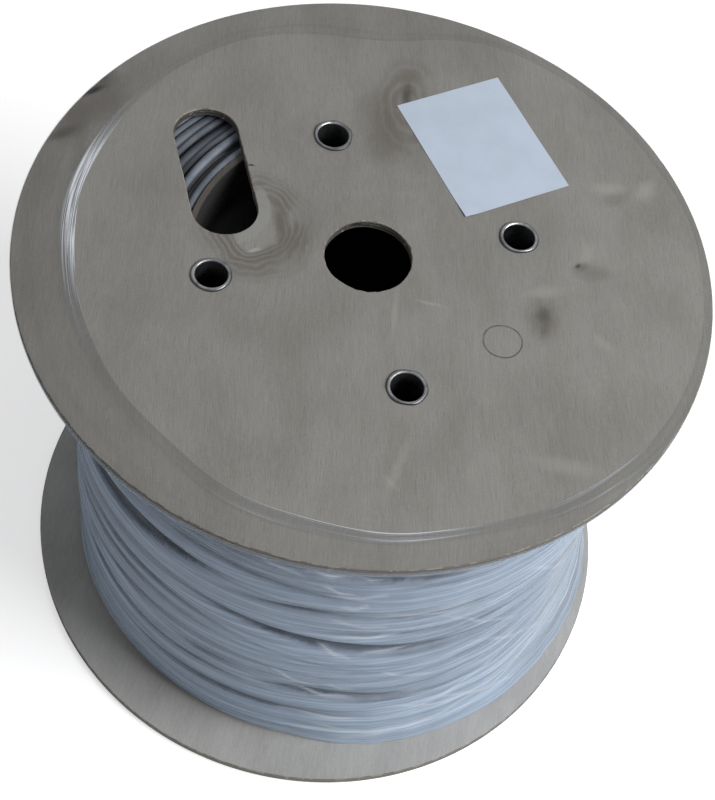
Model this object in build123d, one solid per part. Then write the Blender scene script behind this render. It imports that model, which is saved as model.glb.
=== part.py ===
from build123d import *
from math import cos, pi, sin, sqrt, radians
import os

# A full cable drum that stands on one flange: two plywood flanges on a card core, held together by
# four steel tubes with rolled ends, wound with data cable and wrapped in stretch film.
# Millimetres. Z runs up the axis, the floor is z = 0, and X points at the first tie tube.

# Flanges
FLANGE_DIAMETER = 400.0
FLANGE_THICKNESS = 6.0
ARBOR_HOLE_DIAMETER = 50.0
CLEAR_WIDTH = 303.0
SLOT_WIDTH = 38.0
SLOT_LENGTH = 95.0

# Tie tubes
TUBE_COUNT = 4
TUBE_DIAMETER = 20.0
TUBE_WALL = 0.8
TUBE_CIRCLE_DIAMETER = 181.0
TUBE_HOLE_CLEARANCE = 0.1
CURL_RADIUS = 0.85

# Core
CORE_WALL = 4.0
CORE_CLEARANCE = 0.5

# Cable
CABLE_DIAMETER = 6.2
CABLE_LAYERS = 12
WINDING_CLEARANCE = 0.1

# Stretch film
FILM_THICKNESS = 0.3
FILM_CLEARANCE = 0.1
FILM_BRIDGE_DROP = 30.0
FILM_LIP_DIAMETER = 366.0
FILM_LIP_SHIFT = 16.0
FILM_LIP_SIDES = 48

# Paper label
LABEL_WIDTH = 70.0
LABEL_HEIGHT = 92.0
LABEL_THICKNESS = 0.2
LABEL_RADIUS = 113.0
LABEL_BEARING = 39.0
LABEL_TURN = 12.0

# Radii
flange_radius = FLANGE_DIAMETER / 2
tube_radius = TUBE_DIAMETER / 2
tube_circle_radius = TUBE_CIRCLE_DIAMETER / 2
core_inner_radius = tube_circle_radius + tube_radius + CORE_CLEARANCE
core_outer_radius = core_inner_radius + CORE_WALL
winding_inner_radius = core_outer_radius + WINDING_CLEARANCE
layer_pitch = CABLE_DIAMETER * sqrt(3) / 2
winding_outer_radius = winding_inner_radius + CABLE_DIAMETER + (CABLE_LAYERS - 1) * layer_pitch

# Heights
bead_rise = CURL_RADIUS + TUBE_WALL / 2
bottom_face = bead_rise
bottom_inner_face = bottom_face + FLANGE_THICKNESS
top_inner_face = bottom_inner_face + CLEAR_WIDTH
top_face = top_inner_face + FLANGE_THICKNESS


def turned(profile):
    """Turn a closed outline of (radius, height) corners about an upright axis."""
    corners = [(radius, 0, height) for radius, height in profile]
    return revolve(make_face(Polyline(*corners, close=True)), Axis.Z)


def on_tube_circle(index):
    """Place of one tie tube's axis."""
    bearing = index * 2 * pi / TUBE_COUNT
    return Location((tube_circle_radius * cos(bearing), tube_circle_radius * sin(bearing), 0))


def flange(low_face):
    """Plywood disc with its arbor hole and the holes that the tie tubes pass through."""
    outline = Circle(flange_radius) - Circle(ARBOR_HOLE_DIAMETER / 2)
    for index in range(TUBE_COUNT):
        outline -= on_tube_circle(index) * Circle(tube_radius + TUBE_HOLE_CLEARANCE)
    return Pos(0, 0, low_face) * extrude(outline, FLANGE_THICKNESS)


def slotted_flange(low_face):
    """Flange with the slot for the cable's inner end, set across the core's wall between two tubes."""
    slot = Rot(0, 0, 90) * SlotOverall(SLOT_LENGTH, SLOT_WIDTH)
    bearing = radians(1.5 * 360 / TUBE_COUNT)
    place = Pos(core_outer_radius * cos(bearing), core_outer_radius * sin(bearing), low_face)
    return flange(low_face) - place * extrude(slot, FLANGE_THICKNESS)


def core():
    """Wound card tube that stands between the flanges, just outside the tie tubes."""
    ring = Circle(core_outer_radius) - Circle(core_inner_radius)
    return Pos(0, 0, bottom_inner_face) * extrude(ring, CLEAR_WIDTH)


def rolled_end(face, up):
    """The tube's wall curled outwards over one outer face, out along its crest and back beneath."""
    centre = tube_radius - TUBE_WALL / 2 + CURL_RADIUS
    outer = CURL_RADIUS + TUBE_WALL / 2
    inner = CURL_RADIUS - TUBE_WALL / 2
    crest = face + up * bead_rise
    out = [(centre - outer, face), (centre - outer / 2, crest), (centre + outer / 2, crest)]
    out.append((centre + outer, face))
    back = [(centre + inner, face), (centre, face + up * inner), (centre - inner, face)]
    return out + back


def tie_tube():
    """Steel tube through both flanges, with each end rolled outwards and down onto the wood."""
    return turned(rolled_end(bottom_face, -1) + rolled_end(top_face, 1)[::-1])


def layer_ends():
    """Corners across the upper end. Layers nest, so every second one stands half a cable back."""
    cable_radius = CABLE_DIAMETER / 2
    corners = [(winding_inner_radius, top_inner_face - cable_radius)]
    for layer in range(CABLE_LAYERS):
        setback = cable_radius * (layer % 2)
        corners.append((winding_inner_radius + cable_radius + layer * layer_pitch, top_inner_face - setback))
    corners.append((winding_outer_radius, top_inner_face - setback - cable_radius))
    return corners


def winding():
    """The wound cable as one turned solid, with its layers across the end that the slot opens onto."""
    lower_end = [(winding_outer_radius, bottom_inner_face), (winding_inner_radius, bottom_inner_face)]
    return turned(layer_ends() + lower_end)


def wrapped_shape(thickness):
    """All that the film goes round, grown by a thickness: the winding, flared out to the top flange's rim."""
    wrap = winding_outer_radius + FILM_CLEARANCE + thickness
    rim = flange_radius + FILM_CLEARANCE + thickness
    return turned([
        (0, bottom_inner_face),
        (wrap, bottom_inner_face),
        (wrap, top_inner_face - FILM_BRIDGE_DROP),
        (rim, top_inner_face),
        (rim, top_face + thickness),
        (0, top_face + thickness),
    ])


def stretch_film():
    """Film drawn round the winding, flared out under the top flange, over its rim and onto its face.
    Its torn edge there runs in short straight stretches."""
    torn_edge = RegularPolygon(FILM_LIP_DIAMETER / 2, FILM_LIP_SIDES)
    open_face = Pos(FILM_LIP_SHIFT, 0, top_face) * extrude(torn_edge, FILM_THICKNESS)
    return wrapped_shape(FILM_THICKNESS) - wrapped_shape(0) - open_face


def label():
    """Bare paper label stuck on the top flange."""
    bearing = radians(LABEL_BEARING)
    place = Pos(LABEL_RADIUS * cos(bearing), LABEL_RADIUS * sin(bearing), top_face)
    sheet = extrude(Rectangle(LABEL_WIDTH, LABEL_HEIGHT), LABEL_THICKNESS)
    return place * Rot(0, 0, LABEL_TURN) * sheet


def write(node, solid):
    """Write one sub-part under its node's name."""
    solid.label = node
    export_step(solid, f"parts/{node}.step")


os.makedirs("parts", exist_ok=True)
write("bottom_flange", flange(bottom_face))
write("core", core())
write("cable_winding", winding())
write("top_flange", slotted_flange(top_inner_face))
tube = tie_tube()
for index in range(TUBE_COUNT):
    write(f"tie_tube_{index + 1}", on_tube_circle(index) * tube)
write("stretch_film", stretch_film())
write("paper_label", label())
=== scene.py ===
import bpy
import numpy as np
from mathutils.geometry import delaunay_2d_cdt
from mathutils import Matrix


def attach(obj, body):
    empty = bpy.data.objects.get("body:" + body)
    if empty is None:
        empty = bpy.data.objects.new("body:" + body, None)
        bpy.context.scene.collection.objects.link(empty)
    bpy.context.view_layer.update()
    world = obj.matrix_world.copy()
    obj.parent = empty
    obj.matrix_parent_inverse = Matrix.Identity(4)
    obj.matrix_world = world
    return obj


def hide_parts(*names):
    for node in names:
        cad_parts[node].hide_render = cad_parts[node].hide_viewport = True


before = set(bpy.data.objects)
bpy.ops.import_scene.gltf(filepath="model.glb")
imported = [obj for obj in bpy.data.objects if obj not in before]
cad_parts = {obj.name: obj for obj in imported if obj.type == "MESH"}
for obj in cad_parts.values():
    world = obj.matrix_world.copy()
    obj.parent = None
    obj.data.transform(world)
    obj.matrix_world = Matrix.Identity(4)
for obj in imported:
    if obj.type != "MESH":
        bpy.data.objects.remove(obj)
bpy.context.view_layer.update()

# The drum stands on a white floor and is seen from above, over its near rim. One large soft lamp stands
# to the right of the camera, and an even pale sky fills in the rest. Sizes are in metres.
SKY_LIGHT = 0.3


def add_object(name, data):
    """A new object in the scene for a camera, a lamp or a mesh."""
    added = bpy.data.objects.new(name, data)
    bpy.context.scene.collection.objects.link(added)
    return added


look = bpy.data.cameras.new("view_from_above")
look.lens = 73.33
look.shift_y = 0.05
look.clip_end = 30
camera = add_object("view_from_above", look)
camera.location = (-0.21686, -0.53653, 1.04722)
camera.rotation_euler = np.radians((31.398, -6.362, -13.285))
bpy.context.scene.camera = camera
bpy.context.scene.view_settings.view_transform = "Standard"

panel = bpy.data.lights.new("window_lamp", "AREA")
panel.size = 1.3
panel.energy = 46
lamp = add_object("window_lamp", panel)
bearing, rise = np.radians((-38, 43))
towards = np.array((np.cos(rise) * np.cos(bearing), np.cos(rise) * np.sin(bearing), np.sin(rise)))
lamp.location = towards * 2.2 + (0, 0, 0.16)
lamp.rotation_euler = (np.pi / 2 - rise, 0, bearing + np.pi / 2)


def wire(tree, kind, inputs, **options):
    """One shader node. Options are its settings, and each input is a number, a colour or another node."""
    placed = tree.nodes.new("ShaderNode" + kind)
    for option, value in options.items():
        setattr(placed, option, value)
    for socket, value in inputs.items():
        value = value.outputs[0] if isinstance(value, bpy.types.Node) else value
        if isinstance(value, bpy.types.NodeSocket):
            tree.links.new(value, placed.inputs[socket])
        else:
            placed.inputs[socket].default_value = value
    return placed


def sums(tree, operation, first, second=0.0, third=0.0, clamp=False):
    """One step of arithmetic between nodes or numbers."""
    inputs = {0: first, 1: second, 2: third}
    return wire(tree, "Math", inputs, operation=operation, use_clamp=clamp)


sky = bpy.data.worlds.new("pale_sky")
sky.use_nodes = True
bpy.context.scene.world = sky
tree = sky.node_tree
tree.nodes.clear()
path = wire(tree, "LightPath", {})
seen = sums(tree, "MAXIMUM", path.outputs["Is Camera Ray"], path.outputs["Is Transmission Ray"])
strength = sums(tree, "MULTIPLY_ADD", seen, 1 - SKY_LIGHT, SKY_LIGHT)
strength = sums(tree, "MULTIPLY_ADD", path.outputs["Is Glossy Ray"], 0.25, strength)
glow = wire(tree, "Background", {"Color": (1, 1, 1, 1), "Strength": strength})
wire(tree, "OutputWorld", {"Surface": glow})


def tone(red, green, blue):
    """A colour as a paint card gives it, 0 to 255, turned into light."""
    card = np.array((red, green, blue)) / 255
    light = np.where(card <= 0.04045, card / 12.92, ((card + 0.055) / 1.055) ** 2.4)
    return (*light.tolist(), 1.0)


def finish_tree(name):
    """An empty material and its node tree."""
    material = bpy.data.materials.new(name)
    material.use_nodes = True
    material.node_tree.nodes.clear()
    return material, material.node_tree


def object_place(tree):
    """Each point's place in the object's own coordinates, in metres."""
    return wire(tree, "TexCoord", {}).outputs["Object"]


def noise(tree, place, scale, detail=2.0):
    """Cloudy noise with about so many blotches a metre."""
    return wire(tree, "TexNoise", {"Vector": place, "Scale": scale, "Detail": detail})


floor_white, tree = finish_tree("floor_white")
path = wire(tree, "LightPath", {})
grit = noise(tree, object_place(tree), 40.0)
rough = wire(tree, "Bump", {"Height": grit, "Strength": 0.05, "Distance": 0.001})
paint = wire(tree, "BsdfDiffuse", {"Color": (0.9, 0.9, 0.9, 1), "Normal": rough})
lift = wire(tree, "Emission", {"Strength": sums(tree, "MULTIPLY", path.outputs["Is Camera Ray"], 0.5)})
both = wire(tree, "AddShader", {0: paint, 1: lift})
wire(tree, "OutputMaterial", {"Surface": both})

slab = bpy.data.meshes.new("floor")
slab.from_pydata([(-4, -4, 0), (4, -4, 0), (4, 4, 0), (-4, 4, 0)], [], [(0, 1, 2, 3)])
slab.materials.append(floor_white)
floor = add_object("floor", slab)

# Bottom flange: a disc sawn from 6 mm plywood, with a hole for the spindle and four for the tie tubes.
# The faces are pale rotary-cut veneer, the sawn walls show five plies, and the edges are a little chipped.
BOARD = 0.006
BOTTOM_FACE = 0.00125
RIM = 0.200
SPINDLE_HOLE = 0.025
TUBE_CIRCLE = 0.0905
TUBE_HOLE = 0.0101


def full_turn(count):
    """So many angles spread evenly over one turn."""
    return np.arange(count) / count * 2 * np.pi


def wander(angle, seed, waves, size):
    """A closed wavering line: cosines of the angle, up to so many waves a turn, weaker as they get finer."""
    rng = np.random.default_rng(seed)
    count = np.arange(1, waves + 1)
    strength = rng.normal(0, 1, waves) / count**0.6
    start = rng.uniform(0, 2 * np.pi, waves)
    line = np.cos(np.multiply.outer(angle, count) + start) @ strength
    return size * line / np.sqrt((strength**2).sum() / 2)


def sawn_path(centre, radius, run, count):
    """Points round a hole and their outward directions. A slot is a circle pulled apart by its straight run."""
    length = np.arange(count) / count * (2 * np.pi * radius + 2 * run)
    marks = np.cumsum((0, np.pi * radius, run, np.pi * radius, run))
    turn = np.interp(length, marks, np.pi * np.array((0, 1, 1, 2, 2)))
    shift = np.interp(length, marks, run / 2 * np.array((1, 1, -1, -1, 1)))
    outward = np.stack((np.cos(turn), np.sin(turn)), 1)
    return centre + radius * outward + np.stack((0 * shift, shift), 1), outward


def inside(points, loop):
    """Whether each point lies in a closed loop: a line to its right crosses the loop an odd number of times."""
    ahead = np.roll(loop, -1, 0)
    x, y = points[:, :1], points[:, 1:]
    spans = (loop[:, 1] > y) != (ahead[:, 1] > y)
    steep = np.where(spans, ahead[:, 1] - loop[:, 1], 1)
    crossing = loop[:, 0] + (y - loop[:, 1]) / steep * (ahead[:, 0] - loop[:, 0])
    return (spans & (x < crossing)).sum(1) % 2 == 1


def veneer_face(loops):
    """Triangles that fill the first loop apart from the others, numbered through all the loops' points."""
    points = np.concatenate(loops)
    starts = np.cumsum([0] + [len(loop) for loop in loops])
    edges = []
    for first, last in zip(starts[:-1], starts[1:]):
        ring = np.arange(first, last)
        edges += np.stack((ring, np.roll(ring, -1)), 1).tolist()
    _, _, faces, origin, _, _ = delaunay_2d_cdt(points.tolist(), edges, [], 0, 1e-7)
    back = np.array([ids[0] if ids else -1 for ids in origin])
    faces = back[np.array(faces)]
    middle = points[faces].mean(1)
    wood = inside(middle, loops[0])
    for loop in loops[1:]:
        wood &= ~inside(middle, loop)
    return faces[wood]


def sawn_board(name, low, cuts, seed):
    """A plywood board. Each cut, with its centre, radius, straight run, count of points and raggedness, is a path
    carried down through the board on a profile of rounded, chipped edges and worn plies. The first is the rim.
    The two faces fill what lies between the cuts."""
    depth = np.array((0, 0.02, 0.07, 0.2, 0.21, 0.39, 0.4, 0.6, 0.61, 0.79, 0.8, 0.93, 0.98, 1))
    round_off = np.array((0.5, 0.2, 0.05, 0, 0.12, 0.12, 0, 0, 0.12, 0.12, 0, 0.05, 0.2, 0.5)) * 0.001
    points, quads, tops, lows, start = [], [], [], [], 0
    for index, (centre, radius, run, count, ragged) in enumerate(cuts):
        side = 1 if index == 0 else -1
        line, outward = sawn_path(np.array(centre), radius, run, count)
        angle = full_turn(count)
        saw = wander(angle, seed + 10 * index, 9, ragged * 0.4)
        rows = []
        for row, (part, inset) in enumerate(zip(depth, round_off)):
            chip = np.abs(wander(angle, seed + 10 * index + 1 + row // 3, count // 5, 1))
            near_face = max(0, 1 - 8 * min(part, 1 - part))
            inset = inset + ragged * (0.25 * chip + near_face * np.maximum(chip - 1.1, 0))
            flat = line + outward * (saw - side * inset)[:, None]
            rows.append(np.column_stack((flat, np.full(count, low + BOARD * (1 - part)))))
        points.append(np.concatenate(rows))
        across = np.arange(count)
        for row in range(len(rows) - 1):
            upper = start + row * count + across
            lower = upper + count
            quad = np.stack((upper, lower, np.roll(lower, -1), np.roll(upper, -1)), 1)
            quads.append(quad if side == 1 else quad[:, ::-1])
        tops.append(start + across)
        lows.append(start + (len(rows) - 1) * count + across)
        start += len(rows) * count
    points = np.concatenate(points)
    faces = []
    for rings, way in ((tops, 1), (lows, -1)):
        order = np.concatenate(rings)
        fill = veneer_face([points[ring, :2] for ring in rings])
        a, b, c = (points[order[fill[:, corner]], :2] for corner in range(3))
        up = (b - a)[:, 0] * (c - a)[:, 1] - (b - a)[:, 1] * (c - a)[:, 0]
        fill = np.where((up * way > 0)[:, None], fill, fill[:, ::-1])
        faces.append(order[fill])
    faces = np.concatenate(faces)
    walls = np.concatenate(quads)
    mesh = bpy.data.meshes.new(name)
    mesh.from_pydata(points.tolist(), [], faces.tolist() + walls.tolist())
    on_wall = np.arange(len(faces) + len(walls)) >= len(faces)
    mesh.polygons.foreach_set("material_index", on_wall.astype(np.int32))
    mesh.polygons.foreach_set("use_smooth", on_wall)
    return add_object(name, mesh)


def blend(tree, share, first, second):
    """The first colour, turning into the second as the share goes from 0 to 1."""
    return wire(tree, "Mix", {0: share, 6: first, 7: second}, data_type="RGBA").outputs[2]


def window(tree, value, low, high, start=0.0, end=1.0):
    """Runs smoothly from start to end while the value goes from low to high."""
    inputs = {"Value": value, "From Min": low, "From Max": high, "To Min": start, "To Max": end}
    return wire(tree, "MapRange", inputs, interpolation_type="SMOOTHSTEP")


def shader_group(name, takes, gives):
    """An empty node group with its named sockets, its inner tree, and its inputs and outputs inside."""
    group = bpy.data.node_groups.new(name, "ShaderNodeTree")
    for label, kind in takes:
        group.interface.new_socket(label, in_out="INPUT", socket_type="NodeSocket" + kind)
    for label, kind in gives:
        group.interface.new_socket(label, in_out="OUTPUT", socket_type="NodeSocket" + kind)
    return group, group.nodes.new("NodeGroupInput").outputs, group.nodes.new("NodeGroupOutput").inputs


def stretched(tree, position, across, along, detail=3.0):
    """Noise drawn out along the grain, with so many blotches a metre across it and along it."""
    spread = wire(tree, "VectorMath", {0: position, 1: (across, along, across)}, operation="MULTIPLY")
    return noise(tree, spread, 1.0, detail).outputs[0]


def flattened(tree, place):
    """A place without its height."""
    return wire(tree, "VectorMath", {0: place, 1: (1, 1, 0)}, operation="MULTIPLY").outputs[0]


def axis_distance(tree, place):
    """How far a place is from the drum's axis."""
    return wire(tree, "VectorMath", {0: flattened(tree, place)}, operation="LENGTH").outputs["Value"]


# Veneer: pale and deep wood mixed by bands, blotches and fibres that run along Y, with fine pores.
veneer, takes, gives = shader_group(
    "veneer",
    [("Position", "Vector"), ("Pale", "Color"), ("Deep", "Color")],
    [("Color", "Color"), ("Roughness", "Float"), ("Height", "Float")],
)
bands = stretched(veneer, takes["Position"], 34, 3.2)
lines = stretched(veneer, takes["Position"], 420, 9)
fibres = stretched(veneer, takes["Position"], 1300, 90)
speckle = noise(veneer, takes["Position"], 900.0)
pores = window(veneer, stretched(veneer, takes["Position"], 1100, 140, 1.0), 0.62, 0.74)
cloud = stretched(veneer, takes["Position"], 24, 15, 5.0)
share = sums(veneer, "MULTIPLY_ADD", window(veneer, bands, 0.3, 0.7), 0.16, -0.66)
share = sums(veneer, "MULTIPLY_ADD", window(veneer, lines, 0.35, 0.7), 0.09, share)
share = sums(veneer, "MULTIPLY_ADD", window(veneer, cloud, 0.3, 0.72), 0.5, share)
share = sums(veneer, "MULTIPLY_ADD", speckle, 0.75, share)
share = sums(veneer, "MULTIPLY_ADD", fibres, 0.95, share, clamp=True)
stained = blend(veneer, share, takes["Pale"], takes["Deep"])
dots = sums(veneer, "MULTIPLY", pores, 0.06)
veneer.links.new(blend(veneer, dots, stained, tone(88, 82, 74)), gives["Color"])
veneer.links.new(sums(veneer, "MULTIPLY_ADD", fibres, 0.18, 0.56).outputs[0], gives["Roughness"])
relief = sums(veneer, "MULTIPLY_ADD", lines, 0.5, fibres)
veneer.links.new(sums(veneer, "SUBTRACT", relief, pores).outputs[0], gives["Height"])

# Spot: how far a place is from the middle of a ragged oval, where 1 is the oval's edge.
spot, takes, gives = shader_group(
    "spot",
    [("Position", "Vector"), ("Centre", "Vector")]
    + [(label, "Float") for label in ("Turn", "Long", "Wide", "Ragged")],
    [("Reach", "Float")],
)
uneven = noise(spot, takes["Position"], 150.0, 3.0).outputs[1]
uneven = wire(spot, "VectorMath", {0: uneven, 1: (0.5, 0.5, 0.5)}, operation="SUBTRACT")
amount = sums(spot, "MULTIPLY_ADD", takes["Wide"], takes["Ragged"], 0.001)
uneven = wire(spot, "VectorMath", {0: uneven, "Scale": amount}, operation="SCALE")
offset = wire(spot, "VectorMath", {0: takes["Position"], 1: takes["Centre"]}, operation="SUBTRACT")
offset = wire(spot, "VectorMath", {0: offset, 1: uneven}, operation="ADD")
back = sums(spot, "MULTIPLY", takes["Turn"], -1.0)
offset = wire(spot, "VectorRotate", {"Vector": offset, "Angle": back}, rotation_type="Z_AXIS")
apart = wire(spot, "SeparateXYZ", {0: offset})
along = sums(spot, "DIVIDE", apart.outputs[0], takes["Long"])
aside = sums(spot, "DIVIDE", apart.outputs[1], takes["Wide"])
oval = wire(spot, "CombineXYZ", {0: along, 1: aside})
spot.links.new(wire(spot, "VectorMath", {0: oval}, operation="LENGTH").outputs["Value"], gives["Reach"])


def spot_reach(tree, place, middle, turn, half_length, half_width, ragged=0.4):
    """Distance from a mark's middle, where 1 is the edge of an oval of these half sizes. All in millimetres."""
    inputs = {"Position": place, "Centre": (middle[0] / 1000, middle[1] / 1000, 0), "Turn": float(np.radians(turn))}
    inputs |= {"Long": half_length / 1000, "Wide": half_width / 1000, "Ragged": ragged}
    return wire(tree, "Group", inputs, node_tree=spot).outputs[0]


def principled(tree, colour, roughness, relief, strength, distance, others=None):
    """Ends a material: one surface of this colour and roughness, with its relief as bumps of this height."""
    bumps = wire(tree, "Bump", {"Height": relief, "Strength": strength, "Distance": distance})
    inputs = {"Base Color": colour, "Roughness": roughness, "Normal": bumps} | (others or {})
    wire(tree, "OutputMaterial", {"Surface": wire(tree, "BsdfPrincipled", inputs)})


def veneer_finish(name, grain_bearing, pale, deep, marks, extra=None):
    """Face veneer. Each mark is a soft oval stain, but the broad one on the lower face's left is painted shade. A mark
    gives its middle, its long side's bearing, its half length and half width in millimetres, its strength and its
    colour."""
    material, tree = finish_tree(name)
    place = object_place(tree)
    level = flattened(tree, place)
    bend = noise(tree, place, 5.0, 1.0).outputs[1]
    bend = wire(tree, "VectorMath", {0: bend, "Scale": 0.03}, operation="SCALE")
    swept = wire(tree, "VectorMath", {0: place, 1: bend}, operation="ADD")
    grain = wire(tree, "Mapping", {"Vector": swept, "Rotation": (0, 0, np.radians(90 - grain_bearing))})
    wood = wire(tree, "Group", {"Position": grain, "Pale": pale, "Deep": deep}, node_tree=veneer)
    colour = wood.outputs["Color"]
    for x, y, turn, half_length, half_width, strength, shade in marks:
        reach = spot_reach(tree, level, (x, y), turn, half_length, half_width)
        colour = blend(tree, window(tree, reach, 0.1, 1.0, strength, 0.0), colour, shade)
    if extra:
        colour = extra(tree, level, colour)
    principled(tree, colour, wood.outputs["Roughness"], wood.outputs["Height"], 0.5, 0.00012)
    return material


def sawn_finish(name, low):
    """Sawn plies: five bands by height, every second one dark end grain, with saw marks and pale torn fibres.
    Inside the rim the cut is painted dark below the face ply, as shade down in the holes and the slot."""
    material, tree = finish_tree(name)
    place = object_place(tree)
    waver = noise(tree, place, 45.0)
    height = sums(tree, "MULTIPLY_ADD", waver, 0.0009, wire(tree, "SeparateXYZ", {0: place}).outputs[2])
    share = sums(tree, "MULTIPLY", sums(tree, "SUBTRACT", height, low + 0.00045), 1 / BOARD)
    end_grain = window(tree, sums(tree, "PINGPONG", share, 0.2), 0.075, 0.125)
    scratch = noise(tree, place, 900.0, 3.0)
    torn = noise(tree, place, 210.0, 4.0)
    colour = blend(tree, end_grain, tone(150, 147, 141), tone(116, 111, 105))
    colour = blend(tree, sums(tree, "MULTIPLY", scratch, 0.5), colour, tone(92, 88, 84))
    inner_cut = window(tree, axis_distance(tree, place), 0.15, 0.19, 0.85, 0.0)
    # Painted shade: the walls of the holes and the slot go dark below the face ply.
    painted_hole_shade = sums(tree, "MULTIPLY", inner_cut, window(tree, share, 0.74, 0.86, 1.0, 0.0))
    colour = blend(tree, painted_hole_shade, colour, tone(58, 55, 52))
    chips = sums(tree, "ADD", torn, window(tree, share, 0.78, 1.0, 0.0, 0.16))
    colour = blend(tree, window(tree, chips, 0.6, 0.68, 0.0, 0.45), colour, tone(180, 175, 164))
    relief = sums(tree, "MULTIPLY_ADD", torn, 1.2, scratch)
    principled(tree, colour, window(tree, torn, 0.3, 0.7, 0.7, 0.9), relief, 0.8, 0.0003)
    return material


TUBES = [(TUBE_CIRCLE * x, TUBE_CIRCLE * y) for x, y in ((1, 0), (0, 1), (-1, 0), (0, -1))]
rim_cut = ((0, 0), RIM - 0.0001, 0, 640, 0.0001)
tube_cuts = [(tube, TUBE_HOLE, 0, 80, 0.0001) for tube in TUBES]
cuts = [rim_cut, ((0, 0), SPINDLE_HOLE, 0, 160, 0.0003), *tube_cuts]
bottom = sawn_board("bottom_board", BOTTOM_FACE, cuts, 11)
PALE_MARK = tone(156, 156, 151)
BROWN = tone(94, 89, 83)
DARK_BROWN = tone(58, 54, 51)
NEAR_BLACK = tone(30, 29, 29)
marks = [
    (-112, -146, 70, 40, 16, 0.12, BROWN),
    (91, -158, 64, 30, 9, 0.1, BROWN),
    # Painted shade: this broad brown mark darkens the left of the face, where the drum keeps the lamp's light off.
    (-150, -60, 115, 190, 80, 0.16, BROWN),
]
bottom.data.materials.append(veneer_finish("bottom_veneer", 64, tone(181, 181, 179), tone(154, 153, 151), marks))
bottom.data.materials.append(sawn_finish("bottom_plies", BOTTOM_FACE))
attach(bottom, "root")
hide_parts("bottom_flange")

# Core: a wound card tube, 210 mm across with a 4 mm wall, that stands between the flanges round the four
# tie tubes. The card's strips wind up it in a slow spiral, and its cut end shows through the cable slot.
CORE_INSIDE = 0.101

card, tree = finish_tree("wound_card")
place = object_place(tree)
apart = wire(tree, "SeparateXYZ", {0: place})
turn = sums(tree, "ARCTAN2", apart.outputs[1], apart.outputs[0])
climb = sums(tree, "MULTIPLY_ADD", turn, 1 / (2 * np.pi), sums(tree, "MULTIPLY", apart.outputs[2], 9.0))
seam = window(tree, sums(tree, "PINGPONG", climb, 0.5), 0.0, 0.025, 1.0, 0.0)
pulp = noise(tree, place, 320.0, 4.0)
smear = noise(tree, place, 18.0, 3.0)
colour = blend(tree, window(tree, smear, 0.35, 0.7), tone(94, 90, 85), tone(76, 73, 69))
colour = blend(tree, sums(tree, "MULTIPLY", pulp, 0.4), colour, tone(64, 58, 53))
colour = blend(tree, sums(tree, "MULTIPLY", seam, 0.6), colour, tone(44, 38, 34))
in_shade = window(tree, axis_distance(tree, place), CORE_INSIDE - 0.0002, CORE_INSIDE + 0.0012, 0.9, 0.0)
colour = blend(tree, in_shade, colour, tone(18, 18, 20))
relief = sums(tree, "SUBTRACT", pulp, sums(tree, "MULTIPLY", seam, 2.0))
principled(tree, colour, window(tree, pulp, 0.3, 0.7, 0.75, 0.95), relief, 0.6, 0.0004)
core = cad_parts["core"]
core.data.materials.clear()
core.data.materials.append(card)

# Top flange: the same plywood disc, with a slot for the cable's inner end cut across the line of the core.
# Its veneer is stained round its knots, and a ring is pencilled on it between two of the tubes.
TOP_INNER_FACE = 0.31025
TOP_FACE = TOP_INNER_FACE + BOARD
SLOT_MIDDLE = (-0.07425, 0.07425)
SLOT_RADIUS = 0.019
SLOT_RUN = 0.057
PENCIL_MIDDLE = (0.0606, -0.069, 0)
PENCIL_RADIUS = 0.0117


def growth_rings(tree, place, colour, middle, turn, half_length, half_width, count, shade, first, strength):
    """Rings round a knot, from a share of its half size outwards: a broad soft stain under fine brown and pale
    lines that drift, crowd together and fade out in places."""
    reach = spot_reach(tree, place, middle, turn, half_length, half_width, 0.08)
    drift = wire(tree, "SeparateXYZ", {0: noise(tree, place, 42.0).outputs[1]})
    reach = sums(tree, "MULTIPLY_ADD", sums(tree, "SUBTRACT", drift.outputs[0], 0.5), 0.55, reach)
    ends = window(tree, reach, 0.7, 1.35, 1.0, 0.0)
    span = sums(tree, "MULTIPLY", window(tree, reach, first, first + 0.2), ends)
    span = sums(tree, "MULTIPLY", span, window(tree, drift.outputs[1], 0.34, 0.56, 0.25, 1.0))
    wave = sums(tree, "SINE", sums(tree, "MULTIPLY", reach, 2 * np.pi * count))
    brown = sums(tree, "MULTIPLY", span, sums(tree, "MULTIPLY_ADD", wave, 0.22 * strength, 0.72 * strength))
    colour = blend(tree, brown, colour, shade)
    pale = sums(tree, "MULTIPLY", span, window(tree, wave, -0.5, -1.0, 0.0, 0.16 * strength))
    return blend(tree, pale, colour, PALE_MARK)


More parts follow.
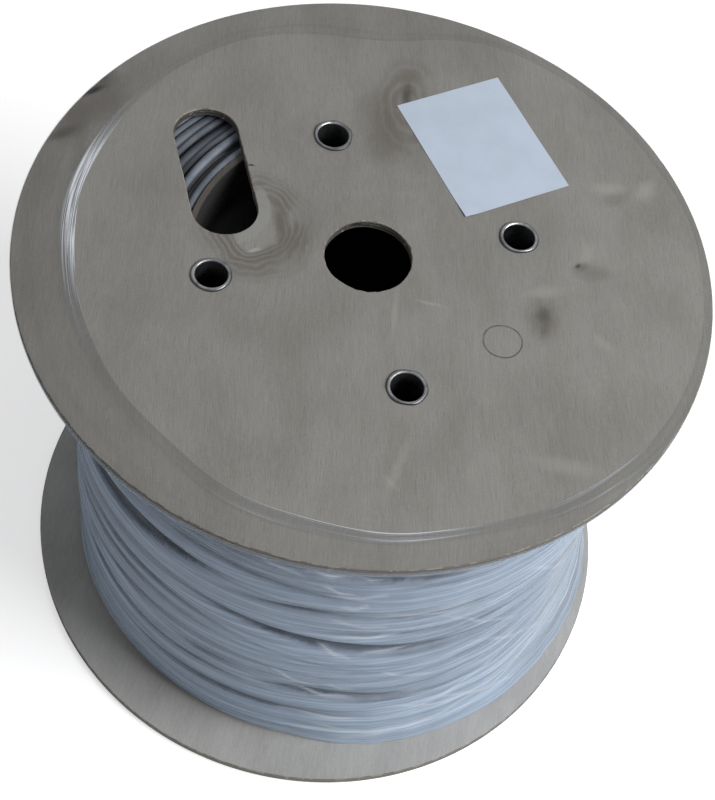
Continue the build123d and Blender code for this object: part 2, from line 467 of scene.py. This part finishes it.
def hand_marks(tree, place, colour):
    """The knot that the slot's end is cut through and the largest one, with their rings, a smear of dried glue
    beside the slot and a ring drawn by hand, thin, dark and fainter in places."""
    colour = growth_rings(tree, place, colour, (-59, 30), 80, 34, 29, 8, BROWN, 0.4, 0.85)
    colour = growth_rings(tree, place, colour, (50, 108), 74, 36, 17, 3, BROWN, 0.25, 0.6)
    reach = spot_reach(tree, place, (-74.25, 45.75), 0, 27, 27, 0.06)
    side = spot_reach(tree, place, (-55, 36), 62, 27, 14, 0.1)
    beside = window(tree, side, 0.8, 1.1, 0.8, 0.0)
    glue = sums(tree, "MULTIPLY", window(tree, reach, 0.95, 1.01, 1.0, 0.0), beside)
    colour = blend(tree, glue, colour, tone(140, 140, 136))
    middle = wire(tree, "VectorMath", {0: place, 1: PENCIL_MIDDLE}, operation="SUBTRACT")
    shake = noise(tree, place, 60.0, 1.0)
    reach = wire(tree, "VectorMath", {0: middle}, operation="LENGTH").outputs["Value"]
    reach = sums(tree, "MULTIPLY_ADD", shake, 0.0016, reach)
    line = sums(tree, "ABSOLUTE", sums(tree, "SUBTRACT", reach, PENCIL_RADIUS))
    line = window(tree, line, 0.0002, 0.00075, 0.8, 0.0)
    faint = window(tree, noise(tree, place, 160.0), 0.3, 0.6, 0.6, 1.0)
    return blend(tree, sums(tree, "MULTIPLY", line, faint), colour, tone(60, 58, 56))


cuts = [rim_cut, ((0, 0), SPINDLE_HOLE, 0, 160, 0.0004), *tube_cuts, (SLOT_MIDDLE, SLOT_RADIUS, SLOT_RUN, 240, 0.0003)]
top = sawn_board("top_board", TOP_INNER_FACE, cuts, 47)
marks = [
    (32, 98, 78, 40, 22, 0.5, BROWN), (30, 78, 60, 22, 18, 0.35, BROWN), (53, 118, 75, 24, 9, 0.5, BROWN),
    (52.5, 117, 72, 17, 4.2, 0.75, DARK_BROWN), (51.5, 109, 72, 3.4, 1.5, 0.9, NEAR_BLACK),
    (126, -31, -15, 17, 9, 0.4, BROWN), (127, -18, 60, 13, 7, 0.45, PALE_MARK), (121, -26, 20, 8, 5, 0.6, BROWN),
    (119, -25, 40, 3.4, 2.0, 0.9, DARK_BROWN), (94, -40, 0, 19, 6, 0.4, PALE_MARK),
    (88, -59, 75, 20, 14, 0.6, BROWN), (89, -56, 80, 9, 6, 0.55, DARK_BROWN), (86, -66, 60, 9, 4, 0.3, DARK_BROWN),
    (154, 28, -8, 16, 7, 0.5, PALE_MARK), (177, 23, 45, 13, 8, 0.55, PALE_MARK), (156, 19, 10, 12, 7, 0.32, BROWN),
    (166, -62, 70, 26, 15, 0.22, BROWN), (-132, 134, 40, 34, 22, 0.62, BROWN),
    (-131, 152, 20, 18, 12, 0.6, DARK_BROWN), (-135, 144, 22, 13, 3.2, 0.95, NEAR_BLACK),
    (-156, 114, 20, 17, 6, 0.7, DARK_BROWN), (-150, 122, 70, 28, 17, 0.6, BROWN),
    (-151, 89, 75, 36, 8, 0.32, BROWN), (-53, 75, -6, 3.0, 1.2, 1.0, NEAR_BLACK), (-35, 19, 60, 30, 14, 0.35, BROWN),
    (-45, 30, 82, 21, 6.5, 0.85, BROWN), (-66, 2, 0, 34, 14, 0.25, BROWN), (-46, 13, 30, 22, 11, 0.5, BROWN),
    (30, 170, 75, 30, 14, 0.16, BROWN), (5, -42, 72, 27, 2.4, 0.4, PALE_MARK), (27, -38, 154, 13, 1.6, 0.5, PALE_MARK),
    (-17, -138, 55, 30, 4.5, 0.34, PALE_MARK), (-23, -147, 114, 9, 2.2, 0.3, PALE_MARK),
    (73, -153, 158, 28, 8, 0.35, PALE_MARK), (117, -79, 116, 12, 5, 0.35, PALE_MARK),
    (-150, -40, 77, 50, 16, 0.14, BROWN), (-64, 13, 10, 7, 2.2, 0.8, tone(168, 168, 164)),
    (130, 70, 77, 60, 30, 0.12, PALE_MARK),
]
pale, deep = tone(141, 140, 136), tone(119, 117, 112)
top.data.materials.append(veneer_finish("top_veneer", 77, pale, deep, marks, hand_marks))
top.data.materials.append(sawn_finish("top_plies", TOP_INNER_FACE))
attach(top, "root")
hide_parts("top_flange")

# Tie tubes: four zinc-plated steel tubes, 20 mm across with a 0.8 mm wall, pushed through both flanges. Each
# end is rolled outwards in a half round that bites into the wood and holds the drum together.
TUBE_OUTSIDE = 0.010
TUBE_WALL = 0.0008
CURL = 0.00085


def quads_over(rows, columns, wrap_rows, wrap_columns):
    """Corner indexes of the quads between neighbouring rows and columns, joined round where they wrap."""
    row = np.arange(rows if wrap_rows else rows - 1)[:, None]
    column = np.arange(columns if wrap_columns else columns - 1)[None, :]
    down, across = (row + 1) % rows, (column + 1) % columns
    corners = (row * columns + column, down * columns + column, down * columns + across, row * columns + across)
    return np.stack([corner.ravel() for corner in corners], 1)


def skin(name, grid, wrap_rows=False, wrap_columns=True, turned=False, values=None):
    """A smooth mesh over a grid of points, with a UV map of how far along its columns and rows each corner is,
    and named values of the points for its material."""
    rows, columns = grid.shape[:2]
    quads = quads_over(rows, columns, wrap_rows, wrap_columns)
    first = quads[:, 0]
    v, u = first // columns, first % columns
    where = np.stack((np.stack((u, u, u + 1, u + 1), 1) / columns, np.stack((v, v + 1, v + 1, v), 1) / rows), 2)
    if turned:
        quads, where = quads[:, ::-1], where[:, ::-1]
    mesh = bpy.data.meshes.new(name)
    mesh.vertices.add(rows * columns)
    mesh.vertices.foreach_set("co", np.ascontiguousarray(grid, np.float32).ravel())
    mesh.loops.add(quads.size)
    mesh.loops.foreach_set("vertex_index", np.ascontiguousarray(quads, np.int32).ravel())
    mesh.polygons.add(len(quads))
    mesh.polygons.foreach_set("loop_start", np.arange(0, quads.size, 4, dtype=np.int32))
    mesh.update(calc_edges=True)
    mesh.polygons.foreach_set("use_smooth", np.ones(len(quads), bool))
    mesh.uv_layers.new(name="surface").data.foreach_set("uv", np.ascontiguousarray(where, np.float32).ravel())
    mesh.validate()
    for label, value in (values or {}).items():
        layer = mesh.attributes.new(label, "FLOAT", "POINT")
        layer.data.foreach_set("value", np.ascontiguousarray(value, np.float32).ravel())
    return add_object(name, mesh)


def round_axis(radius, angle, height, centre=(0, 0)):
    """Points at these radii, angles and heights round an upright axis."""
    return np.stack((centre[0] + radius * np.cos(angle), centre[1] + radius * np.sin(angle), height), 2)


def half_round(face, up, radius, steps):
    """Radius and height along a half circle over one face, from the bore's side outwards."""
    turn = np.linspace(0, np.pi, steps)
    middle = TUBE_OUTSIDE - TUBE_WALL / 2 + CURL
    return np.stack((middle - radius * np.cos(turn), face + up * radius * np.sin(turn)), 1)


def tie_tube(name, centre, seed):
    """The wall's outline turned about the tube's axis: up the bore, over the upper curl, down the outside and
    round the lower curl. The rolling tool leaves the curl's height and width a little uneven."""
    outer, inner = CURL + TUBE_WALL / 2, CURL - TUBE_WALL / 2
    over = half_round(TOP_FACE, 1, outer, 13)
    under = half_round(TOP_FACE, 1, inner, 7)[::-1]
    below = half_round(BOTTOM_FACE, -1, inner, 7)
    back = half_round(BOTTOM_FACE, -1, outer, 13)[::-1]
    rise = np.linspace(BOTTOM_FACE, TOP_FACE, 9)[1:-1]
    bore = np.stack((over[0, 0] + 0 * rise, rise), 1)
    wall = np.stack((under[-1, 0] + 0 * rise, rise[::-1]), 1)
    profile = np.concatenate((bore, over, under, wall, below, back))
    angle = full_turn(112)
    radius = profile[:, :1] + 0 * angle
    height = profile[:, 1:] + 0 * angle
    curled = np.clip((radius - TUBE_OUTSIDE) / (2 * CURL), 0, 1)
    radius = radius + curled * wander(angle, seed, 6, 0.00022)
    swell = np.clip((height - TOP_FACE) / outer, 0, 1)
    height = height - swell * np.abs(wander(angle, seed + 1, 8, 0.00012))
    return skin(name, round_axis(radius, angle, height, centre), wrap_rows=True)


# The zinc is dull and blotched. Along the wall's outline it is painted dark as shade in the bore and past the upper
# curl, and painted darker as shade where that curl comes down onto the wood.
zinc, tree = finish_tree("zinc_plate")
place = object_place(tree)
spangle = noise(tree, place, 260.0, 3.0)
blotch = noise(tree, place, 90.0, 4.0)
drawn = wire(tree, "VectorMath", {0: place, 1: (3000.0, 3000.0, 120.0)}, operation="MULTIPLY")
colour = blend(tree, window(tree, blotch, 0.35, 0.7), tone(182, 184, 187), tone(124, 126, 129))
colour = blend(tree, window(tree, spangle, 0.55, 0.75, 0.0, 0.5), colour, tone(92, 92, 92))
along = wire(tree, "SeparateXYZ", {0: wire(tree, "UVMap", {}, uv_map="surface")}).outputs[1]
# Painted shade: darker on the curl's outer slope down to the wood, near black in the bore and beneath the curl.
painted_slope_shade = sums(tree, "MULTIPLY", window(tree, along, 0.235, 0.3), window(tree, along, 0.36, 0.4, 1.0, 0.0))
inner = sums(tree, "MAXIMUM", window(tree, along, 0.1, 0.15, 1.0, 0.0), window(tree, along, 0.4, 0.45))
colour = blend(tree, sums(tree, "MULTIPLY", painted_slope_shade, 0.85), colour, tone(56, 56, 58))
colour = blend(tree, sums(tree, "MULTIPLY", inner, 0.97), colour, tone(14, 14, 17))
relief = sums(tree, "MULTIPLY_ADD", spangle, 0.5, noise(tree, drawn, 1.0))
principled(tree, colour, window(tree, blotch, 0.3, 0.7, 0.26, 0.5), relief, 0.35, 0.0001, {"Metallic": 1.0})

for number, centre in enumerate(TUBES, 1):
    tube = tie_tube(f"steel_tube_{number}", centre, 60 + 5 * number)
    tube.data.materials.append(zinc)
    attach(tube, "root")
    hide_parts(f"tie_tube_{number}")

# Cable: about 500 m of 6.2 mm data cable with a grey sheath, wound on the core in twelve layers. The last layer
# is loose: its turns lie in bunches that slant and cross, and leave gaps that show the layer below.
CABLE_RADIUS = 0.0031
BOTTOM_INNER_FACE = BOTTOM_FACE + BOARD
WINDING_INSIDE = 0.1051
WINDING_OUTSIDE = 0.17036
LAYER = CABLE_RADIUS * np.sqrt(3)
TURN_STEP = 0.0060
END_GAP = 0.0002


def laid_turns(along, angle, middles, lifts):
    """Height over a row of turns: the highest of their round backs at each place, each turn with its own
    wandering middle and lift. Between the turns the surface stops part of the way down."""
    height = np.full((len(along), len(angle)), -1.0)
    for middle, lift in zip(middles, lifts):
        gap = np.minimum(np.abs(along[:, None] - middle), CABLE_RADIUS)
        back = np.sqrt(CABLE_RADIUS**2 - gap**2) - CABLE_RADIUS + lift
        height = np.maximum(height, back - 2 * CABLE_RADIUS * (gap >= CABLE_RADIUS))
    return height


def near(angle, bearing, spread):
    """A soft hump that is 1 at a bearing and gone a few spreads away. Bearings are in degrees."""
    away = (np.degrees(angle) - bearing + 180) % 360 - 180
    return np.exp(-((away / spread) ** 2))


def all_round(angle, *parts):
    """Rows of values in one stack, where those of a single column hold at every angle."""
    return np.vstack([part + 0 * angle for part in parts])


# First the even turns of the layer below, then the loose bunches over it, then four turns that cross them.
angle = full_turn(180)
along = np.linspace(BOTTOM_INNER_FACE + END_GAP, TOP_INNER_FACE - END_GAP, 392)
rng = np.random.default_rng(5)
even = np.linspace(BOTTOM_INNER_FACE + CABLE_RADIUS, TOP_INNER_FACE - CABLE_RADIUS, 48)
middles = [height + wander(angle, 200 + n, 3, 0.0008) for n, height in enumerate(even)]
lifts = [wander(angle, 300 + n, 4, 0.0005) - LAYER - 0.0004 for n in range(len(even))]
start, bunch = BOTTOM_INNER_FACE + 0.005, 0
while start < TOP_INNER_FACE - 0.006:
    turns = rng.choice((1, 2, 2, 3))
    slant = wander(angle, 400, 3, 0.0065) + wander(angle, 401 + bunch, 3, 0.0046)
    for n in range(turns):
        middle = start + TURN_STEP * n + slant + wander(angle, 500 + 5 * bunch + n, 4, 0.0011)
        middles.append(np.clip(middle, even[0], even[-1]))
        lifts.append(wander(angle, 600 + 5 * bunch + n, 3, 0.0006) - 0.0014 + 0.0005 * (n % 2))
    start += TURN_STEP * turns + rng.uniform(0.0045, 0.0095)
    bunch += 1
for n in range(4):
    middles.append(np.clip(0.05 + 0.065 * n + wander(angle, 450 + n, 2, 0.015), even[0], even[-1]))
    lifts.append(wander(angle, 460 + n, 3, 0.0004) - 0.0006)
loose_layer = np.clip(laid_turns(along, angle, middles, lifts), -1.7 * LAYER, 0)

across = np.linspace(WINDING_INSIDE + 0.0001, WINDING_OUTSIDE - 0.002, 126)
layers = WINDING_INSIDE + CABLE_RADIUS + LAYER * np.arange(12)
end_middles = [radius + wander(angle, 700 + n, 4, 0.0004) for n, radius in enumerate(layers)]
end_lifts = [wander(angle, 800 + n, 5, 0.0010) - 0.0014 - 0.0003 * n - 0.0016 * (n % 2) for n in range(12)]
end = np.clip(laid_turns(across, angle, end_middles, end_lifts), -0.010, -0.0001)

# The outline at each bearing runs up the outside, in over the upper end, down the bore and out beneath. Painted
# shade darkens the sheath with depth below the turns' crests, and a painted shadow of the flange lies under the near
# rim.
low = BOTTOM_INNER_FACE + END_GAP
bore = np.linspace(TOP_INNER_FACE - 0.01, low, 6)[:, None]
under = np.linspace(WINDING_INSIDE, WINDING_OUTSIDE - 0.004, 14)[1:, None]
radius = all_round(angle, WINDING_OUTSIDE + loose_layer, across[::-1, None], WINDING_INSIDE + 0 * bore, under)
height = all_round(angle, along[:, None], TOP_INNER_FACE + end[::-1], bore, low + 0 * under)
# Painted shade: the sheath darkens with depth in the gaps, and under the near rim with the flange's painted shadow.
outer_shade = np.clip((-loose_layer - 0.0028) / 0.0030, 0, 1)
painted_rim_shadow = near(angle, -132, 34) * np.clip((along[:, None] - 0.215) / 0.05, 0, 1)
outer_shade = np.maximum(outer_shade, 0.7 * painted_rim_shadow)
crest = np.interp(across, layers, [lift.mean() for lift in end_lifts])[:, None]
end_depth = np.clip(0.54 + (crest - end) / 0.0034, 0, 1)[::-1]
depth = all_round(angle, outer_shade, end_depth, 1 + 0 * bore, 1 + 0 * under)
grid = round_axis(radius, angle, height)
cable = skin("wound_cable", grid, wrap_rows=True, turned=True, values={"depth": depth})

sheath, tree = finish_tree("cable_sheath")
place = object_place(tree)
dust = noise(tree, place, 70.0, 4.0)
grit = noise(tree, place, 1200.0)
colour = blend(tree, window(tree, dust, 0.35, 0.7), tone(126, 134, 147), tone(104, 112, 124))
colour = blend(tree, sums(tree, "MULTIPLY", grit, 0.2), colour, tone(76, 82, 90))
painted_gap_shade = wire(tree, "Attribute", {}, attribute_name="depth").outputs["Fac"]
# Painted shade: the depth value turns the sheath nearly black in the gaps, at the upper end, in the bore and beneath.
colour = blend(tree, window(tree, painted_gap_shade, 0.12, 0.85, 0.0, 0.94), colour, tone(22, 25, 31))
principled(tree, colour, window(tree, dust, 0.3, 0.7, 0.42, 0.62), grit, 0.25, 0.0001)
cable.data.materials.append(sheath)
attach(cable, "root")
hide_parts("cable_winding")

# Stretch film: cloudy cling film wound round the cable under tension. It bridges from the winding out to the
# top flange, folds over the rim and sticks to the face, where its torn edge lies off centre. On one side it
# stands off the winding, like a tent drawn from the rim to the bottom flange.
LIP = 0.183
LIP_SHIFT = 0.016
TIGHT_END = np.radians(110)


def eased(share):
    """A share from 0 to 1 with its ends slowed."""
    share = np.clip(share, 0, 1)
    return share * share * (3 - 2 * share)


def loose_side(angle, tight, loose):
    """Radius of the outline that leaves the winding's circle where the film lets go of it: there it turns into
    the one arc through both of those places and through a point further out."""
    shift = (loose**2 - tight**2) / (2 * (loose - tight * np.cos(TIGHT_END)))
    arc = shift * np.cos(angle) + np.sqrt((loose - shift) ** 2 - (shift * np.sin(angle)) ** 2)
    return np.where(np.cos(angle) > np.cos(TIGHT_END), arc, tight)


def between(rows, places):
    """Rows read at places that may lie between two of them."""
    low = np.floor(places).astype(int)
    mix = (places - low)[:, None]
    return rows[low] * (1 - mix) + rows[np.minimum(low + 1, len(rows) - 1)] * mix


# The film touches the loose turns' crests and sags a little between them, more the further apart they are.
angle = full_turn(440)
closed = np.vstack((loose_layer.T, loose_layer.T[:1]))
ridge = between(closed, np.arange(len(angle)) * loose_layer.shape[1] / len(angle)).T
for reach in range(1, 9):
    sag = 0.0001 * reach**2
    up = np.vstack((ridge[reach:], np.repeat(ridge[-1:], reach, 0))) - sag
    down = np.vstack((np.repeat(ridge[:1], reach, 0), ridge[:-reach])) - sag
    ridge = np.maximum(ridge, np.maximum(up, down))
kernel = np.array((1, 2, 3, 2, 1)) / 9
ridge = np.apply_along_axis(lambda line: np.convolve(np.pad(line, 2, "edge"), kernel, "valid"), 0, ridge)

lip_radius = LIP_SHIFT * np.cos(angle) + np.sqrt(LIP**2 - (LIP_SHIFT * np.sin(angle)) ** 2)
lip_radius = lip_radius - 0.002 - 0.016 * near(angle, 74, 16) + wander(angle, 901, 14, 0.0012)
lip_radius = np.minimum(lip_radius, 0.1992)
share = np.linspace(0, 1, 22)[:, None]
flat_radius = lip_radius + (RIM + 0.0001 - lip_radius) * share
fold = np.abs(wander(angle, 903, 40, 1.0)) * np.sin(np.pi * share) ** 0.5
flat_height = TOP_FACE + 0.00025 + 0.00018 * fold
rim = np.linspace(0, 1, 6)[1:, None]
levels = np.linspace(TOP_INNER_FACE - 0.0012, BOTTOM_INNER_FACE + 0.0004, 172)[:, None]
draped = between(ridge, np.interp(levels[:, 0], along, np.arange(len(along))))
drop = TOP_INNER_FACE - levels
bridge = 0.027 + wander(angle, 905, 9, 0.004) + 0.012 * near(angle, -30, 45)
pull_out = (1 - np.clip(drop / bridge, 0, 1)) ** 1.3
climb = 1 - drop / drop[-1]
tight = WINDING_OUTSIDE + 0.0002
skirt = np.clip(1 - climb / 0.36, 0, 1) ** 1.7 * (0.0165 + 0.004 * near(angle, -22, 22))
drawn = loose_side(angle, tight, tight + 0.005 + 0.006 * np.clip(climb - 0.4, 0, 1) + skirt)
pleats = np.cos(40 * angle + 9 * climb + wander(angle, 907, 12, 2.0)) * 0.0002 + wander(angle, 908, 30, 0.00015)
free = eased((drawn - tight) / 0.0045)
wall_radius = drawn + 0.0004 + draped * 0.82 * (1 - free) + pleats * free
wall_radius = wall_radius + (RIM + 0.0001 - wall_radius) * pull_out
foot = eased(1 - (levels - BOTTOM_INNER_FACE) / 0.02) * 0.0012
wall_radius = np.minimum(wall_radius + foot, RIM + 0.0003)
radius = all_round(angle, flat_radius, RIM + 0.0003 + 0 * rim, wall_radius)
height = all_round(angle, flat_height, TOP_FACE - rim * BOARD, levels)

# How closely the film lies on the cable, where it stands free, where it is made clearer under the near rim as painted
# shade and milkier near the foot as painted light, and where painted highlights lie on its creases and gathered
# strands.
# Each crease has the bearings and the heights in millimetres that it runs between, and its strength.
touching = eased(1 + (draped + 0.0015) / 0.0026)
spread = eased((drawn - tight - 0.010) / 0.008)
touching = np.maximum(touching, (0.85 - 0.5 * spread) * free)
shaded = near(angle, -132, 34) * eased((levels - 0.215) / 0.05)
# Painted light: near the foot at the front the film is made milkier, so brighter.
painted_foot_light = near(angle, -82, 34) * eased((0.085 - levels) / 0.06)
touching = touching * (1 - 0.85 * shaded) + 0.6 * painted_foot_light
veiled = 0.04 + 0.11 * near(angle, 176, 52)
touching = all_round(angle, veiled + 0 * share, veiled + 0.25 + 0 * rim, touching)
standing = all_round(angle, 0 * share, 0 * rim, free)
fold_highlights = 0 * radius
on_wall = fold_highlights[-len(levels) :]
bearings = np.degrees(angle)
for first, last, high, end_high, strength in (
    (-113, -103, 248, 246, 1.0), (-109, -102, 234, 226, 0.9), (-105, -99, 209, 213, 0.8), (-105, -91, 167, 172, 0.9),
    (-108, -100, 153, 137, 0.8), (-116, -106, 110, 95, 0.8), (-104, -98, 99, 93, 0.9), (-114, -90, 47, 45, 0.7),
    (-105, -92, 33, 25, 0.9), (-104, -96, 246, 243, 0.8), (-96, -80, 120, 96, 0.7), (-90, -70, 62, 40, 0.8),
    (-84, -60, 190, 120, 0.5), (-74, -48, 130, 60, 0.6), (-66, -44, 210, 130, 0.5), (-80, -56, 60, 20, 0.7),
    (-112, -78, 24, 30, 0.9), (-100, -62, 14, 40, 0.9), (-90, -56, 40, 90, 0.7), (-72, -40, 18, 70, 0.8),
    (-128, -112, 262, 240, 0.6), (-106, -94, 190, 182, 0.8), (-112, -97, 84, 72, 0.8), (-100, -84, 140, 150, 0.6),
    (-108, -96, 222, 228, 0.8), (-96, -72, 200, 186, 0.5),
):
    run = ((bearings - first) % 360) / (last - first)
    middle = (high + (end_high - high) * run) / 1000 + 0.0012 * np.sin(9 * run)
    fading = (run < 1) * np.sqrt(np.sin(np.pi * np.minimum(run, 1)))
    line = np.exp(-(((levels - middle) / 0.0017) ** 2)) * fading
    on_wall[:] = np.maximum(on_wall, strength * line)
from_lip = flat_radius - lip_radius
strands = 0.9 * near(angle, 158, 24) + 0.8 * near(angle, -118, 18) + 0.9 * near(angle, -95, 11)
strands = strands + 0.9 * near(angle, -62, 15) + 0.35 * near(angle, 118, 14) + 0.2
second = 0.0055 + 0.0015 * np.sin(5 * angle)
lines = np.exp(-from_lip / 0.0018) + 0.6 * np.exp(-(((from_lip - second) / 0.0014) ** 2))
lines = lines + 1.1 * np.exp(-(((from_lip - 0.003) / 0.0032) ** 2)) * near(angle, 158, 19)
fold_highlights[: len(share)] = strands * lines
values = {"touching": touching, "standing": standing, "fold_highlights": fold_highlights}
film = skin("cling_film", round_axis(radius, angle, height), values=values)

clear, tree = finish_tree("cloudy_film")
place = object_place(tree)
level = wire(tree, "SeparateXYZ", {0: place}).outputs[2]
heading = wire(tree, "VectorMath", {0: flattened(tree, place)}, operation="NORMALIZE")
heading = wire(tree, "SeparateXYZ", {0: heading})
down = wire(tree, "SeparateXYZ", {0: wire(tree, "UVMap", {}, uv_map="surface")}).outputs[1]
down = sums(tree, "MULTIPLY", down, 2 * np.pi)
ring = wire(tree, "CombineXYZ", {0: heading.outputs[0], 1: down, 2: heading.outputs[1]})
surface = wire(tree, "VectorMath", {0: ring, "Scale": 1 / (2 * np.pi)}, operation="SCALE").outputs[0]
contact, tent, painted_fold_highlight = (wire(tree, "Attribute", {}, attribute_name=label).outputs["Fac"] for label in values)
streaks = stretched(tree, surface, 8, 120, 4.0)
fine = stretched(tree, surface, 26, 620, 3.0)
broad = stretched(tree, surface, 5, 34, 3.0)
slanted = wire(tree, "Mapping", {"Vector": surface, "Rotation": (0, 0, 0.10)}).outputs[0]
drawn_lines = stretched(tree, slanted, 16, 300, 3.0)
on_wall = window(tree, level, TOP_INNER_FACE + 0.001, TOP_FACE - 0.0005, 1.0, 0.0)
milk = sums(tree, "MULTIPLY_ADD", window(tree, broad, 0.3, 0.7), 0.09, 0.05)
milk = sums(tree, "MULTIPLY_ADD", contact, 0.3, milk, clamp=True)
thick = sums(tree, "MULTIPLY", window(tree, streaks, 0.42, 0.72), sums(tree, "MULTIPLY_ADD", contact, 0.16, 0.07))
milk = sums(tree, "ADD", thick, milk)
pulled = window(tree, drawn_lines, 0.4, 0.75, 0.0, 0.42)
milk = sums(tree, "MULTIPLY_ADD", tent, pulled, milk)
veil = sums(tree, "MULTIPLY", contact, window(tree, broad, 0.35, 0.7, 0.8, 1.25))
alpha = sums(tree, "MULTIPLY_ADD", on_wall, sums(tree, "SUBTRACT", milk, veil), veil, clamp=True)
# Painted highlights: near-white, nearly opaque film on the creases and strands, the tent's drawn lines and the face's
# streaks.
painted_highlight = sums(tree, "MULTIPLY", painted_fold_highlight, window(tree, fine, 0.36, 0.62, 0.25, 1.0))
glints = window(tree, drawn_lines, 0.62, 0.8, 0.0, 0.7)
painted_highlight = sums(tree, "MAXIMUM", painted_highlight, sums(tree, "MULTIPLY", tent, glints))
on_face = sums(tree, "SUBTRACT", 1.0, on_wall)
face_lines = sums(tree, "MULTIPLY", window(tree, streaks, 0.58, 0.78, 0.0, 0.35), on_face)
painted_highlight = sums(tree, "MAXIMUM", painted_highlight, face_lines, clamp=True)
alpha = sums(tree, "MULTIPLY_ADD", painted_highlight, sums(tree, "SUBTRACT", 0.85, alpha), alpha, clamp=True)
colour = blend(tree, on_wall, tone(62, 62, 66), tone(188, 208, 232))
colour = blend(tree, painted_highlight, colour, tone(234, 239, 246))
rough = window(tree, broad, 0.3, 0.7, 0.22, 0.42)
principled(tree, colour, rough, streaks, 0.5, 0.0006, {"Alpha": alpha, "IOR": 1.5})
film.data.materials.append(clear)
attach(film, "root")
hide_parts("stretch_film")

# Paper label: a bare sheet of pale bluish paper, 70 by 92 mm, pasted on the top flange. It has a few soft
# ripples, and one corner has come away from the wood.
LABEL_WIDTH = 0.070
LABEL_HEIGHT = 0.092
LABEL_RADIUS = 0.113
LABEL_BEARING = np.radians(39)
LABEL_TURN = np.radians(12)

across = np.linspace(-0.5, 0.5, 57)[:, None]
upward = np.linspace(-0.5, 0.5, 73)[None, :]
ripple = np.cos(9 * across + 4 * upward + 0.6) * np.cos(7 * upward - 3 * across) * 0.00012
corner = eased((0.16 - np.hypot(across + 0.5, upward + 0.5)) / 0.16)
lift = 0.00022 + np.abs(ripple) + 0.0007 * corner
x, y = LABEL_WIDTH * across + 0 * upward, LABEL_HEIGHT * upward + 0 * across
flat = (
    LABEL_RADIUS * np.cos(LABEL_BEARING) + x * np.cos(LABEL_TURN) - y * np.sin(LABEL_TURN),
    LABEL_RADIUS * np.sin(LABEL_BEARING) + x * np.sin(LABEL_TURN) + y * np.cos(LABEL_TURN),
)
sheet = skin("bare_label", np.stack((*flat, TOP_FACE + lift), 2), wrap_columns=False)

paper, tree = finish_tree("label_paper")
place = object_place(tree)
fibre = noise(tree, place, 700.0, 4.0)
stain = noise(tree, place, 38.0, 4.0)
colour = blend(tree, window(tree, stain, 0.35, 0.75), tone(193, 205, 222), tone(186, 198, 214))
colour = blend(tree, sums(tree, "MULTIPLY", fibre, 0.14), colour, tone(150, 158, 170))
principled(tree, colour, window(tree, stain, 0.3, 0.7, 0.5, 0.68), fibre, 0.3, 0.00008)
sheet.data.materials.append(paper)
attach(sheet, "root")
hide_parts("paper_label")
